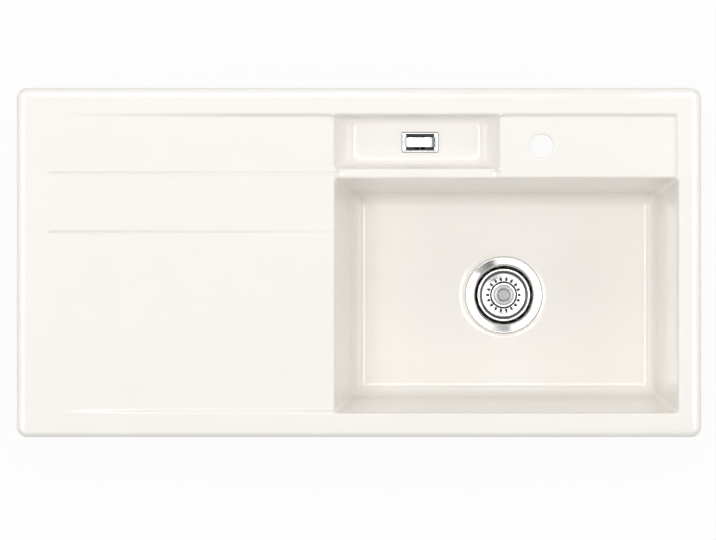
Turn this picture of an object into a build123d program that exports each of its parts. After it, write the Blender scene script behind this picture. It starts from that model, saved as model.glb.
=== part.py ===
from build123d import *
import os
from math import cos, pi, radians, sin, tan

os.makedirs("parts", exist_ok=True)

# Inset ceramic kitchen sink, drainer on the left and bowl on the right, in millimetres.
# The origin is the middle of the rim's underside, which rests on the worktop; +Y is the back.

# Rim
LENGTH = 1000.0
WIDTH = 510.0
RIM_HEIGHT = 12.0
RIM_EDGE_R = 8.0
OUTER_CORNER_R = 15.0
RIM_LEFT = 43.0
RIM_RIGHT = 33.5
RIM_FRONT = 35.0
RIM_BACK = 39.0

# Main bowl
BOWL_LENGTH = 503.0
BOWL_DEPTH = 195.0
BOWL_END_DRAFT = 8.2
BOWL_SIDE_DRAFT = 6.6
BOWL_CORNER_R = 21.0
BOWL_FLOOR_R = 21.0
FLOOR_FALL = 4.0

# Tap deck behind the bowl and scrap recess beside it
DECK_WIDTH = 92.0
DECK_DROP = 4.5
RECESS_LENGTH = 245.0
RECESS_DEPTH = 40.0
RECESS_END_SLOPE = 22.0
RECESS_SIDE_SLOPE = 3.0
RECESS_R = 10.0
WEIR_WIDTH = 12.5
WEIR_DROP = 10.0
TAP_HOLE_D = 35.0
TAP_FROM_RECESS = 58.0

# Drainer, which falls towards the bowl, and its two grooves
DRAINER_DROP = 4.5
BACK_STRIP_DROP = 6.0
GROOVE_WIDTH = 12.0
GROOVE_FRONT_FLANK = 2.5
GROOVE_DEPTH = 2.5
GROOVE_END_DEPTH = 0.4
GROOVE_SETBACK = 2.0
GROOVE_SPACING = 87.5

# Ceramic thicknesses and underside
CERAMIC_WALL = 12.0
FLOOR_THICKNESS = 14.0
PANEL_UNDER = 6.0
SEAT_WIDTH = 14.0
SKIRT_DEPTH = 30.0
RIB_COUNT = 2
SHELL_R = 24.0

# Waste in the bowl
FLANGE_D = 114.0
FLANGE_SHEET = 1.2
FLANGE_SEAT_DEPTH = 5.0
FLANGE_CONE = 2.2
FLANGE_EDGE_DEPTH = 2.4
FLANGE_EDGE_R = 1.7
DRAIN_HOLE_D = 90.0
THROAT_D = 86.0
CUP_D = 80.0
CUP_DEPTH = 36.0
CUP_SEAT_D = 50.0
THROAT_R = 4.0
CUP_R = 3.0
HUB_R = 1.4
HUB_DEPTH = 42.0
HUB_STEP = 2.0
HUB_HOLE_D = 9.0
HUB_HOLE_COUNT = 6
HUB_HOLE_CIRCLE_D = 31.0
GASKET_THICKNESS = 3.0
BODY_FLANGE_D = 122.0
BODY_FLANGE_THICKNESS = 4.0
BODY_D = 100.0
BODY_WALL = 4.0
BODY_DEPTH = 40.0
BODY_CONE_HEIGHT = 16.0
OUTLET_D = 47.8
OUTLET_LENGTH = 28.0
BOSS_D = 18.0
WEB_COUNT = 3
WEB_THICKNESS = 3.0
INSERT_D = 14.0
INSERT_LENGTH = 15.0
CLAMP_D = 10.0
CLAMP_HEAD_D = 17.0
CLAMP_HEAD = 3.0
CLAMP_LENGTH = 21.0
CLAMP_SLOT = 2.0

# Lift-out strainer
STRAINER_SHEET = 1.0
LIP_D = 79.0
LIP_WIDTH = 4.2
LIP_DROP = 5.2
BASKET_WALL_D = 67.2
BASKET_WALL_DEPTH = 22.6
BASKET_BASE_D = 50.0
BASKET_DEPTH = 24.0
PEDESTAL_D = 40.0
PEDESTAL_RISE = 4.0
PEDESTAL_STEP = 2.0
LIP_HEM = 1.9
LIP_EDGE_R = 1.4
LIP_BEND_R = 1.6
BASKET_R = 2.5
PEDESTAL_R = 1.2
SLOT_COUNT = 18
SLOT_INNER_WIDTH = 4.4
SLOT_OUTER_WIDTH = 1.6
SLOT_INNER_R = 20.8
SLOT_OUTER_R = 27.0
KNOB_BASE_D = 31.0
KNOB_NECK_D = 12.4
KNOB_TOP_D = 15.2
KNOB_HEIGHT = 15.5
KNOB_FOOT = 1.2
KNOB_FLARE = 2.2
KNOB_DISH = 0.2
KNOB_EDGE_R = 0.5
STEM_D = 5.0
STEM_HEAD_D = 9.0
STEM_HEAD = 1.6
STEM_LENGTH = 40.0
CARRIER_D = 56.0
CARRIER_HUB_D = 12.0
CARRIER_THICKNESS = 3.0
SEAL_D = 62.0
SEAL_THICKNESS = 4.0
CLIP_D = 12.0
CLIP_THICKNESS = 1.2
O_RING_SECTION = 1.0
O_RING_FROM_END = 8.0

# Overflow in the recess, a little to the right of its middle
OVERFLOW_OFFSET = 3.5
OVERFLOW_LENGTH = 53.5
OVERFLOW_WIDTH = 30.0
OVERFLOW_CORNER_R = 1.6
OVERFLOW_LIP = 2.0
OVERFLOW_EDGE_R = 1.5
OVERFLOW_INNER_R = 0.8
OVERFLOW_END_BAR = 4.2
OVERFLOW_SIDE_BAR = 3.2
COLLAR_WALL = 1.6
COLLAR_DEPTH = 9.0
LEDGE = 1.8
LEDGE_DROP = 1.7
COVER_WIDTH = 14.6
COVER_SHEET = 1.5
COVER_RISE = 2.4
COVER_EDGE_R = 0.6
BRIDGE_WIDTH = 10.0
BRIDGE_THICKNESS = 3.0
BRIDGE_DROP = 5.0
LEG_THICKNESS = 1.4
LEG_WIDTH = 9.0
OVERFLOW_SCREW_D = 5.0
OVERFLOW_SCREW_HEAD_D = 9.2
OVERFLOW_SCREW_LENGTH = 50.0
HOUSING_FLANGE_EXTRA = 9.0
HOUSING_FLANGE = 3.0
HOUSING_DEPTH = 30.0
HOUSING_WALL = 2.2
HOUSING_BOSS_D = 9.0

# Rigid overflow pipe and its compression joints
PIPE_D = 25.0
PIPE_WALL = 2.0
PIPE_BEND_R = 45.0
SOCKET_D = 34.0
SOCKET_LENGTH = 26.0
SOCKET_GRIP = 18.0
NUT_D = 42.0
NUT_COVER = 13.0
NUT_FACE = 3.0
NUT_LUG_COUNT = 8
NUT_LUG = 2.5
SEAL_LENGTH = 4.0
INLET_DROP = 25.0

# Fits
GASKET_FIT = 0.1
RUNNING_FIT = 0.06
THREAD_FIT = 0.1
SEAT_FIT = 0.05
SLIDE_FIT = 0.3
HOLE_FIT = 1.0

# Places worked out from the sizes above
well_left = -LENGTH / 2 + RIM_LEFT
well_right = LENGTH / 2 - RIM_RIGHT
well_front = -WIDTH / 2 + RIM_FRONT
well_back = WIDTH / 2 - RIM_BACK
bowl_left = well_right - BOWL_LENGTH
bowl_back = well_back - DECK_WIDTH
bowl_width = bowl_back - well_front
bowl_centre = ((bowl_left + well_right) / 2, (well_front + bowl_back) / 2)
drain_x, drain_y = bowl_centre
recess_right = bowl_left + RECESS_LENGTH
recess_front = bowl_back + WEIR_WIDTH
recess_width = well_back - recess_front
recess_centre = ((bowl_left + recess_right) / 2, (recess_front + well_back) / 2)
over_x = recess_centre[0] + OVERFLOW_OFFSET
over_y = recess_centre[1]
tap_x = recess_right + TAP_FROM_RECESS
tap_y = (bowl_back + well_back) / 2
deck_z = RIM_HEIGHT - DECK_DROP
floor_z = RIM_HEIGHT - BOWL_DEPTH
drain_z = floor_z - FLOOR_FALL
bowl_under = drain_z - FLOOR_THICKNESS
recess_floor = RIM_HEIGHT - RECESS_DEPTH
recess_under = recess_floor - CERAMIC_WALL
end_slope = tan(radians(BOWL_END_DRAFT))
side_slope = tan(radians(BOWL_SIDE_DRAFT))
skirt_length = LENGTH - 2 * SEAT_WIDTH
skirt_width = WIDTH - 2 * SEAT_WIDTH
overflow_hole_length = OVERFLOW_LENGTH - 2 * OVERFLOW_END_BAR + 2 * COLLAR_WALL + HOLE_FIT
overflow_hole_width = OVERFLOW_WIDTH - 2 * OVERFLOW_SIDE_BAR + 2 * COLLAR_WALL + HOLE_FIT


def frustum(centre, top_z, top_size, bottom_z, bottom_size):
    with BuildPart() as solid:
        for level, size in ((bottom_z, bottom_size), (top_z, top_size)):
            with BuildSketch(Plane.XY.offset(level)):
                with Locations(centre):
                    Rectangle(*size)
        loft(ruled=True)
    return solid.part


def round_basin(basin, corner_r, floor_r):
    with BuildPart() as solid:
        add(basin)
        slanted = solid.edges().filter_by(lambda edge: abs((edge @ 0).Z - (edge @ 1).Z) > 1)
        fillet(slanted, corner_r)
        # A floor fillet can't roll round a corner that is tighter than itself
        fillet(solid.faces().sort_by(Axis.Z)[0].edges(), min(floor_r, corner_r))
    return solid.part


def wedge(left, right, front, back, fall):
    # Cut above a plane that falls from the rim's top at the left to a drop at the right
    with BuildPart() as solid:
        with BuildSketch(Plane.XZ.offset(-front)):
            Polygon((left, RIM_HEIGHT), (right, RIM_HEIGHT - fall), (right, RIM_HEIGHT), align=None)
        extrude(amount=-(back - front))
    return solid.part


def groove(front, end_fall):
    # Long groove with a steep front flank and a slow back one, shallower towards the bowl
    with BuildPart() as solid:
        ends = ((well_left, 0.0, GROOVE_DEPTH), (bowl_left, end_fall, GROOVE_END_DEPTH))
        for station, fall, depth in ends:
            surface = RIM_HEIGHT - fall
            with BuildSketch(Plane.YZ.offset(station)):
                Polygon(
                    (front, surface),
                    (front + GROOVE_FRONT_FLANK, surface - depth),
                    (front + GROOVE_WIDTH, surface),
                    (front + GROOVE_WIDTH, surface + RIM_HEIGHT),
                    (front, surface + RIM_HEIGHT),
                    align=None,
                )
        loft(ruled=True)
    return solid.part


# Hollows of the ceramic body
first_groove = bowl_back + GROOVE_SETBACK
second_groove = first_groove - GROOVE_SPACING
foot_size = (BOWL_LENGTH - 2 * BOWL_DEPTH * end_slope, bowl_width - 2 * BOWL_DEPTH * side_slope)
bowl_hollow = round_basin(
    frustum(bowl_centre, RIM_HEIGHT, (BOWL_LENGTH, bowl_width), floor_z, foot_size),
    BOWL_CORNER_R,
    BOWL_FLOOR_R,
)
floor_hollow = frustum(
    bowl_centre,
    floor_z,
    (foot_size[0] - 2 * BOWL_FLOOR_R, foot_size[1] - 2 * BOWL_FLOOR_R),
    drain_z,
    (FLANGE_D + 2 * HOLE_FIT, FLANGE_D + 2 * HOLE_FIT),
)
recess_floor_size = (RECESS_LENGTH - 2 * RECESS_END_SLOPE, recess_width - 2 * RECESS_SIDE_SLOPE)
recess_hollow = round_basin(
    frustum(recess_centre, RIM_HEIGHT, (RECESS_LENGTH, recess_width), recess_floor, recess_floor_size),
    RECESS_R,
    RECESS_R,
)

# Shells under the bowl and the recess
end_grow = CERAMIC_WALL / cos(radians(BOWL_END_DRAFT)) - RIM_HEIGHT * end_slope
side_grow = CERAMIC_WALL / cos(radians(BOWL_SIDE_DRAFT)) - RIM_HEIGHT * side_slope
shell_top = (BOWL_LENGTH + 2 * end_grow, bowl_width + 2 * side_grow)
shell_foot = (shell_top[0] + 2 * bowl_under * end_slope, shell_top[1] + 2 * bowl_under * side_slope)
bowl_shell = round_basin(
    frustum(bowl_centre, 0.0, shell_top, bowl_under, shell_foot),
    SHELL_R,
    SHELL_R,
)
recess_shell = round_basin(
    frustum(
        recess_centre,
        0.0,
        (RECESS_LENGTH + CERAMIC_WALL, recess_width + 2 * CERAMIC_WALL),
        recess_under,
        (recess_floor_size[0] + CERAMIC_WALL, recess_floor_size[1] + 2 * CERAMIC_WALL),
    ),
    RECESS_R,
    RECESS_R,
)

# Ceramic body: rim, hollow skirt with ribs, then the shells, then everything that is scooped out
with BuildPart() as sink_body:
    with BuildSketch(Plane.XY):
        RectangleRounded(LENGTH, WIDTH, OUTER_CORNER_R)
    extrude(amount=RIM_HEIGHT)
    fillet(sink_body.faces().sort_by(Axis.Z)[-1].edges(), RIM_EDGE_R)
    with BuildSketch(Plane.XY):
        RectangleRounded(skirt_length, skirt_width, OUTER_CORNER_R)
    extrude(amount=-SKIRT_DEPTH)
    with BuildSketch(Plane.XY.offset(-SKIRT_DEPTH)):
        Rectangle(skirt_length - 2 * CERAMIC_WALL, skirt_width - 2 * CERAMIC_WALL)
    extrude(amount=SKIRT_DEPTH - PANEL_UNDER, mode=Mode.SUBTRACT)
    skirt_left = -skirt_length / 2 + CERAMIC_WALL
    rib_pitch = (bowl_left - CERAMIC_WALL - skirt_left) / (RIB_COUNT + 1)
    with BuildSketch(Plane.XY.offset(-SKIRT_DEPTH)):
        for rib in range(RIB_COUNT):
            with Locations((skirt_left + rib_pitch * (rib + 1), 0)):
                Rectangle(CERAMIC_WALL, skirt_width - CERAMIC_WALL)
    extrude(amount=SKIRT_DEPTH - PANEL_UNDER)
    add(bowl_shell)
    add(recess_shell)
    add(bowl_hollow, mode=Mode.SUBTRACT)
    add(floor_hollow, mode=Mode.SUBTRACT)
    add(recess_hollow, mode=Mode.SUBTRACT)
    add(wedge(well_left, bowl_left, well_front, first_groove, DRAINER_DROP), mode=Mode.SUBTRACT)
    add(wedge(well_left, bowl_left, first_groove, well_back, BACK_STRIP_DROP), mode=Mode.SUBTRACT)
    add(groove(first_groove, BACK_STRIP_DROP), mode=Mode.SUBTRACT)
    add(groove(second_groove, DRAINER_DROP), mode=Mode.SUBTRACT)
    # Tap deck, set a little below the rim
    with BuildSketch(Plane.XY.offset(deck_z)):
        with Locations(((recess_right + well_right) / 2, tap_y)):
            Rectangle(well_right - recess_right, DECK_WIDTH)
    extrude(amount=DECK_DROP, mode=Mode.SUBTRACT)
    # Weir that lets a full bowl spill into the recess
    with BuildSketch(Plane.XY.offset(RIM_HEIGHT - WEIR_DROP)):
        with Locations((recess_centre[0], (bowl_back + recess_front) / 2)):
            Rectangle(RECESS_LENGTH, WEIR_WIDTH + 2 * RECESS_SIDE_SLOPE)
    extrude(amount=WEIR_DROP, mode=Mode.SUBTRACT)
    # Drain hole with its sunk seat, tap hole and overflow hole
    with BuildSketch(Plane.XY.offset(bowl_under)):
        with Locations(bowl_centre):
            Circle(DRAIN_HOLE_D / 2)
    extrude(amount=FLOOR_THICKNESS, mode=Mode.SUBTRACT)
    with BuildSketch(Plane.XY.offset(drain_z - FLANGE_SEAT_DEPTH)):
        with Locations(bowl_centre):
            Circle(FLANGE_D / 2 + HOLE_FIT)
    extrude(amount=FLANGE_SEAT_DEPTH, mode=Mode.SUBTRACT)
    with BuildSketch(Plane.XY.offset(-PANEL_UNDER)):
        with Locations((tap_x, tap_y)):
            Circle(TAP_HOLE_D / 2)
    extrude(amount=PANEL_UNDER + deck_z, mode=Mode.SUBTRACT)
    with BuildSketch(Plane.XY.offset(recess_under)):
        with Locations((over_x, over_y)):
            RectangleRounded(overflow_hole_length, overflow_hole_width, OVERFLOW_CORNER_R)
    extrude(amount=CERAMIC_WALL, mode=Mode.SUBTRACT)
sink_body.part.label = "sink_body"
export_step(sink_body.part, "parts/sink_body.step")

# Turned pieces share the drain's upright axis and a section plane with radius across and height up
drain_axis = Axis((drain_x, drain_y, 0), (0, 0, 1))
drain_section = Plane(origin=(drain_x, drain_y, drain_z), x_dir=(1, 0, 0), z_dir=(0, -1, 0))
hub_z = drain_z - HUB_DEPTH
body_top = bowl_under - GASKET_THICKNESS
hole_r = DRAIN_HOLE_D / 2

# Stainless flange, its edge turned down, with a cup whose holed hub takes the clamp screw
with BuildPart() as waste_flange:
    with BuildSketch(drain_section):
        with BuildLine():
            FilletPolyline(
                (FLANGE_D / 2, -FLANGE_EDGE_DEPTH),
                (FLANGE_D / 2, 0),
                (THROAT_D / 2, -FLANGE_CONE),
                (CUP_D / 2, -CUP_DEPTH),
                (CUP_SEAT_D / 2, -CUP_DEPTH),
                (CUP_SEAT_D / 2 - HUB_STEP, -HUB_DEPTH),
                (CLAMP_D / 2 + THREAD_FIT, -HUB_DEPTH),
                radius=[FLANGE_EDGE_R, THROAT_R, CUP_R, HUB_R, HUB_R],
            )
            offset(amount=FLANGE_SHEET, side=Side.LEFT)
        make_face()
    revolve(axis=drain_axis)
    with BuildSketch(Plane.XY.offset(hub_z - 2 * FLANGE_SHEET)):
        with Locations(bowl_centre):
            with PolarLocations(HUB_HOLE_CIRCLE_D / 2, HUB_HOLE_COUNT):
                Circle(HUB_HOLE_D / 2)
    extrude(amount=4 * FLANGE_SHEET, mode=Mode.SUBTRACT)
waste_flange.part.label = "waste_flange"
export_step(waste_flange.part, "parts/waste_flange.step")

# Wedge-shaped rubber ring between the sunk seat and the coned flange
cone_slope = FLANGE_CONE / ((FLANGE_D - THROAT_D) / 2)
gasket_outer = FLANGE_D / 2 - FLANGE_SHEET - HOLE_FIT
gasket_inner = hole_r + HOLE_FIT
gasket_under = -FLANGE_SHEET - GASKET_FIT
with BuildPart() as flange_gasket:
    with BuildSketch(drain_section):
        Polygon(
            (gasket_inner, -FLANGE_SEAT_DEPTH),
            (gasket_outer, -FLANGE_SEAT_DEPTH),
            (gasket_outer, gasket_under - cone_slope * (FLANGE_D / 2 - gasket_outer)),
            (gasket_inner, gasket_under - cone_slope * (FLANGE_D / 2 - gasket_inner)),
            align=None,
        )
    revolve(axis=drain_axis)
flange_gasket.part.label = "flange_gasket"
export_step(flange_gasket.part, "parts/flange_gasket.step")

# Flat rubber ring under the ceramic floor
with BuildPart() as waste_gasket:
    with BuildSketch(Plane.XY.offset(body_top)):
        with Locations(bowl_centre):
            Circle(BODY_FLANGE_D / 2 - HOLE_FIT)
            Circle(gasket_inner, mode=Mode.SUBTRACT)
    extrude(amount=GASKET_THICKNESS)
waste_gasket.part.label = "waste_gasket"
export_step(waste_gasket.part, "parts/waste_gasket.step")

# The overflow pipe comes down behind the bowl and turns towards the drain
towards = Vector(over_x - drain_x, over_y - drain_y, 0)
inlet_dir = towards.normalized()
inlet_z = body_top - INLET_DROP
inlet_root = Vector(drain_x, drain_y, inlet_z) + inlet_dir * (BODY_D / 2 - BODY_WALL)
inlet_plane = Plane(origin=inlet_root, x_dir=(0, 0, 1), z_dir=inlet_dir)
inlet_length = BODY_WALL + SOCKET_LENGTH
pipe_r = PIPE_D / 2
pipe_bore = pipe_r - PIPE_WALL
socket_r = pipe_r + SLIDE_FIT

# Plastic waste body: flange, cup, cone, outlet spigot, side socket and a boss on three webs
body_bottom = body_top - BODY_DEPTH
outlet_top = body_bottom - BODY_CONE_HEIGHT
outlet_end = outlet_top - OUTLET_LENGTH
outlet_bore = OUTLET_D / 2 - BODY_WALL
boss_top = hub_z - FLANGE_SHEET - GASKET_FIT
body_section = Plane(origin=(drain_x, drain_y, 0), x_dir=(1, 0, 0), z_dir=(0, -1, 0))
with BuildPart() as waste_body:
    with BuildSketch(body_section):
        Polygon(
            (BODY_D / 2 - BODY_WALL, body_top),
            (BODY_FLANGE_D / 2, body_top),
            (BODY_FLANGE_D / 2, body_top - BODY_FLANGE_THICKNESS),
            (BODY_D / 2, body_top - BODY_FLANGE_THICKNESS),
            (BODY_D / 2, body_bottom),
            (OUTLET_D / 2, outlet_top),
            (OUTLET_D / 2, outlet_end),
            (outlet_bore, outlet_end),
            (outlet_bore, outlet_top),
            (BODY_D / 2 - BODY_WALL, body_bottom),
            align=None,
        )
    revolve(axis=drain_axis)
    with BuildSketch(inlet_plane):
        Circle(SOCKET_D / 2)
    extrude(amount=inlet_length)
    with BuildSketch(inlet_plane.offset(-BODY_WALL)):
        Circle(pipe_bore)
    extrude(amount=inlet_length + BODY_WALL, mode=Mode.SUBTRACT)
    with BuildSketch(inlet_plane.offset(inlet_length)):
        Circle(socket_r)
    extrude(amount=-SOCKET_GRIP, mode=Mode.SUBTRACT)
    with BuildSketch(Plane.XY.offset(boss_top)):
        with Locations(bowl_centre):
            Circle(BOSS_D / 2)
    extrude(amount=outlet_top - boss_top)
    for web in range(WEB_COUNT):
        turn = 2 * pi * web / WEB_COUNT
        outward = (cos(turn), sin(turn), 0)
        sideways = (sin(turn), -cos(turn), 0)
        with BuildSketch(Plane(origin=(drain_x, drain_y, 0), x_dir=outward, z_dir=sideways)):
            Polygon(
                (INSERT_D / 2 + THREAD_FIT, outlet_top),
                (outlet_bore, outlet_top),
                (BODY_D / 2 - BODY_WALL / 2, body_bottom),
                (INSERT_D / 2 + THREAD_FIT, body_bottom),
                align=None,
            )
        extrude(amount=WEB_THICKNESS / 2, both=True)
    with BuildSketch(Plane.XY.offset(boss_top - INSERT_LENGTH)):
        with Locations(bowl_centre):
            Circle(INSERT_D / 2 + THREAD_FIT)
    extrude(amount=INSERT_LENGTH, mode=Mode.SUBTRACT)
    with BuildSketch(Plane.XY.offset(boss_top)):
        with Locations(bowl_centre):
            Circle(CLAMP_D / 2 + THREAD_FIT)
    extrude(amount=outlet_top - boss_top, mode=Mode.SUBTRACT)
waste_body.part.label = "waste_body"
export_step(waste_body.part, "parts/waste_body.step")

# Brass insert moulded into the boss
with BuildPart() as clamp_insert:
    with BuildSketch(Plane.XY.offset(boss_top - INSERT_LENGTH)):
        with Locations(bowl_centre):
            Circle(INSERT_D / 2)
            Circle(CLAMP_D / 2 + THREAD_FIT, mode=Mode.SUBTRACT)
    extrude(amount=INSERT_LENGTH)
clamp_insert.part.label = "clamp_insert"
export_step(clamp_insert.part, "parts/clamp_insert.step")

# Hollow clamp screw, slotted across its head, with the bore that guides the strainer's stem
stem_r = STEM_D / 2
guide_r = stem_r + SLIDE_FIT
with BuildPart() as clamp_screw:
    with BuildSketch(Plane.XY.offset(hub_z)):
        with Locations(bowl_centre):
            Circle(CLAMP_HEAD_D / 2)
    extrude(amount=CLAMP_HEAD)
    chamfer(clamp_screw.faces().sort_by(Axis.Z)[-1].edges(), CLAMP_HEAD / 4)
    with BuildSketch(Plane.XY.offset(hub_z)):
        with Locations(bowl_centre):
            Circle(CLAMP_D / 2)
    extrude(amount=-CLAMP_LENGTH)
    with BuildSketch(Plane.XY.offset(hub_z + CLAMP_HEAD / 2)):
        with Locations(bowl_centre):
            Rectangle(CLAMP_HEAD_D, CLAMP_SLOT)
    extrude(amount=CLAMP_HEAD / 2, mode=Mode.SUBTRACT)
    with BuildSketch(Plane.XY.offset(hub_z - CLAMP_LENGTH)):
        with Locations(bowl_centre):
            Circle(guide_r)
    extrude(amount=CLAMP_LENGTH + CLAMP_HEAD, mode=Mode.SUBTRACT)
clamp_screw.part.label = "clamp_screw"
export_step(clamp_screw.part, "parts/clamp_screw.step")

# Pressed basket: hemmed lip, steep wall, sloping floor, flat ring and raised middle, with drop-shaped slots
stem_hole_r = stem_r + RUNNING_FIT
pedestal_z = PEDESTAL_RISE - BASKET_DEPTH
with BuildSketch() as drop_slot:
    with Locations((SLOT_INNER_R + SLOT_INNER_WIDTH / 2, 0)):
        Circle(SLOT_INNER_WIDTH / 2)
    with Locations((SLOT_OUTER_R - SLOT_OUTER_WIDTH / 2, 0)):
        Circle(SLOT_OUTER_WIDTH / 2)
    make_hull()
with BuildPart() as strainer_basket:
    with BuildSketch(drain_section):
        with BuildLine():
            FilletPolyline(
                (LIP_D / 2, -LIP_DROP - LIP_HEM),
                (LIP_D / 2, -LIP_DROP),
                (LIP_D / 2 - LIP_WIDTH, -LIP_DROP),
                (BASKET_WALL_D / 2, -BASKET_WALL_DEPTH),
                (BASKET_BASE_D / 2, -BASKET_DEPTH),
                (PEDESTAL_D / 2, -BASKET_DEPTH),
                (PEDESTAL_D / 2 - PEDESTAL_STEP, pedestal_z),
                (stem_hole_r, pedestal_z),
                radius=[LIP_EDGE_R, LIP_BEND_R, BASKET_R, BASKET_R, PEDESTAL_R, PEDESTAL_R],
            )
            offset(amount=STRAINER_SHEET, side=Side.LEFT)
        make_face()
    revolve(axis=drain_axis)
    with BuildSketch(Plane.XY.offset(drain_z - BASKET_DEPTH - 2 * STRAINER_SHEET)):
        with Locations(bowl_centre):
            with PolarLocations(0, SLOT_COUNT):
                add(drop_slot.sketch)
    extrude(amount=BASKET_DEPTH, mode=Mode.SUBTRACT)
strainer_basket.part.label = "strainer_basket"
export_step(strainer_basket.part, "parts/strainer_basket.step")

# Turned knob, flared at the foot, waisted, with a dished top and a pocket for the stem's head
pocket_r = STEM_HEAD_D / 2 + SLIDE_FIT
pocket_z = pedestal_z + STEM_HEAD + 2 * SLIDE_FIT
knob_foot_top = pedestal_z + KNOB_FOOT
knob_top = pedestal_z + KNOB_HEIGHT
knob_waist = pedestal_z + KNOB_HEIGHT / 2
with BuildPart() as basket_knob:
    with BuildSketch(drain_section):
        with BuildLine():
            Line((pocket_r, pedestal_z), (KNOB_BASE_D / 2, pedestal_z))
            Line((KNOB_BASE_D / 2, pedestal_z), (KNOB_BASE_D / 2, knob_foot_top))
            ThreePointArc(
                (KNOB_BASE_D / 2, knob_foot_top),
                (KNOB_NECK_D / 2 + KNOB_FLARE, pedestal_z + KNOB_HEIGHT / 4),
                (KNOB_NECK_D / 2, knob_waist),
            )
            Line((KNOB_NECK_D / 2, knob_waist), (KNOB_TOP_D / 2, knob_top - KNOB_FOOT))
            Line((KNOB_TOP_D / 2, knob_top - KNOB_FOOT), (KNOB_TOP_D / 2, knob_top))
            Line((KNOB_TOP_D / 2, knob_top), (0, knob_top - KNOB_DISH))
            Polyline((0, knob_top - KNOB_DISH), (0, pocket_z), (pocket_r, pocket_z), (pocket_r, pedestal_z))
        make_face()
    revolve(axis=drain_axis)
    fillet(basket_knob.edges().group_by(Axis.Z)[-1], KNOB_EDGE_R)
basket_knob.part.label = "basket_knob"
export_step(basket_knob.part, "parts/basket_knob.step")

# Plastic carrier that spaces the seal from the basket, and the rubber seal that closes the cup
seal_under = SEAT_FIT - CUP_DEPTH
seal_top = seal_under + SEAL_THICKNESS
with BuildPart() as seal_carrier:
    with BuildSketch(drain_section):
        Polygon(
            (stem_hole_r, seal_top),
            (CARRIER_D / 2, seal_top),
            (CARRIER_D / 2, seal_top + CARRIER_THICKNESS),
            (CARRIER_HUB_D / 2, seal_top + CARRIER_THICKNESS),
            (CARRIER_HUB_D / 2, pedestal_z - STRAINER_SHEET),
            (stem_hole_r, pedestal_z - STRAINER_SHEET),
            align=None,
        )
    revolve(axis=drain_axis)
seal_carrier.part.label = "seal_carrier"
export_step(seal_carrier.part, "parts/seal_carrier.step")

with BuildPart() as basket_seal:
    with BuildSketch(drain_section):
        Polygon(
            (stem_hole_r, seal_under),
            (SEAL_D / 2, seal_under),
            (SEAL_D / 2, seal_top),
            (stem_hole_r, seal_top),
            align=None,
        )
    revolve(axis=drain_axis)
    fillet(basket_seal.edges().group_by(Axis.Z)[-1].sort_by(SortBy.LENGTH)[-1], SEAL_THICKNESS / 3)
basket_seal.part.label = "basket_seal"
export_step(basket_seal.part, "parts/basket_seal.step")

# Stem with a head in the knob's pocket, a clip under the seal and an O-ring near its end
head_under = pedestal_z + SEAT_FIT
stem_end = head_under - STEM_LENGTH
clip_top = seal_under - SEAT_FIT
o_ring_z = stem_end + O_RING_FROM_END
o_ring_r = O_RING_SECTION / 2
o_ring_centre = guide_r - SEAT_FIT - o_ring_r
groove_r = o_ring_centre - o_ring_r - SEAT_FIT
groove_half = o_ring_r + SEAT_FIT
with BuildPart() as basket_stem:
    with BuildSketch(drain_section):
        Polygon(
            (0, stem_end),
            (stem_r, stem_end),
            (stem_r, o_ring_z - groove_half),
            (groove_r, o_ring_z - groove_half),
            (groove_r, o_ring_z + groove_half),
            (stem_r, o_ring_z + groove_half),
            (stem_r, head_under),
            (STEM_HEAD_D / 2, head_under),
            (STEM_HEAD_D / 2, head_under + STEM_HEAD),
            (0, head_under + STEM_HEAD),
            align=None,
        )
    revolve(axis=drain_axis)
basket_stem.part.label = "basket_stem"
export_step(basket_stem.part, "parts/basket_stem.step")

with BuildPart() as stem_clip:
    with BuildSketch(Plane.XY.offset(drain_z + clip_top)):
        with Locations(bowl_centre):
            Circle(CLIP_D / 2)
            Circle(stem_r + SEAT_FIT, mode=Mode.SUBTRACT)
    extrude(amount=-CLIP_THICKNESS)
stem_clip.part.label = "stem_clip"
export_step(stem_clip.part, "parts/stem_clip.step")

with BuildPart() as stem_o_ring:
    with BuildSketch(drain_section):
        with Locations((o_ring_centre, o_ring_z)):
            Circle(o_ring_r)
    revolve(axis=drain_axis)
stem_o_ring.part.label = "stem_o_ring"
export_step(stem_o_ring.part, "parts/stem_o_ring.step")

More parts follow.
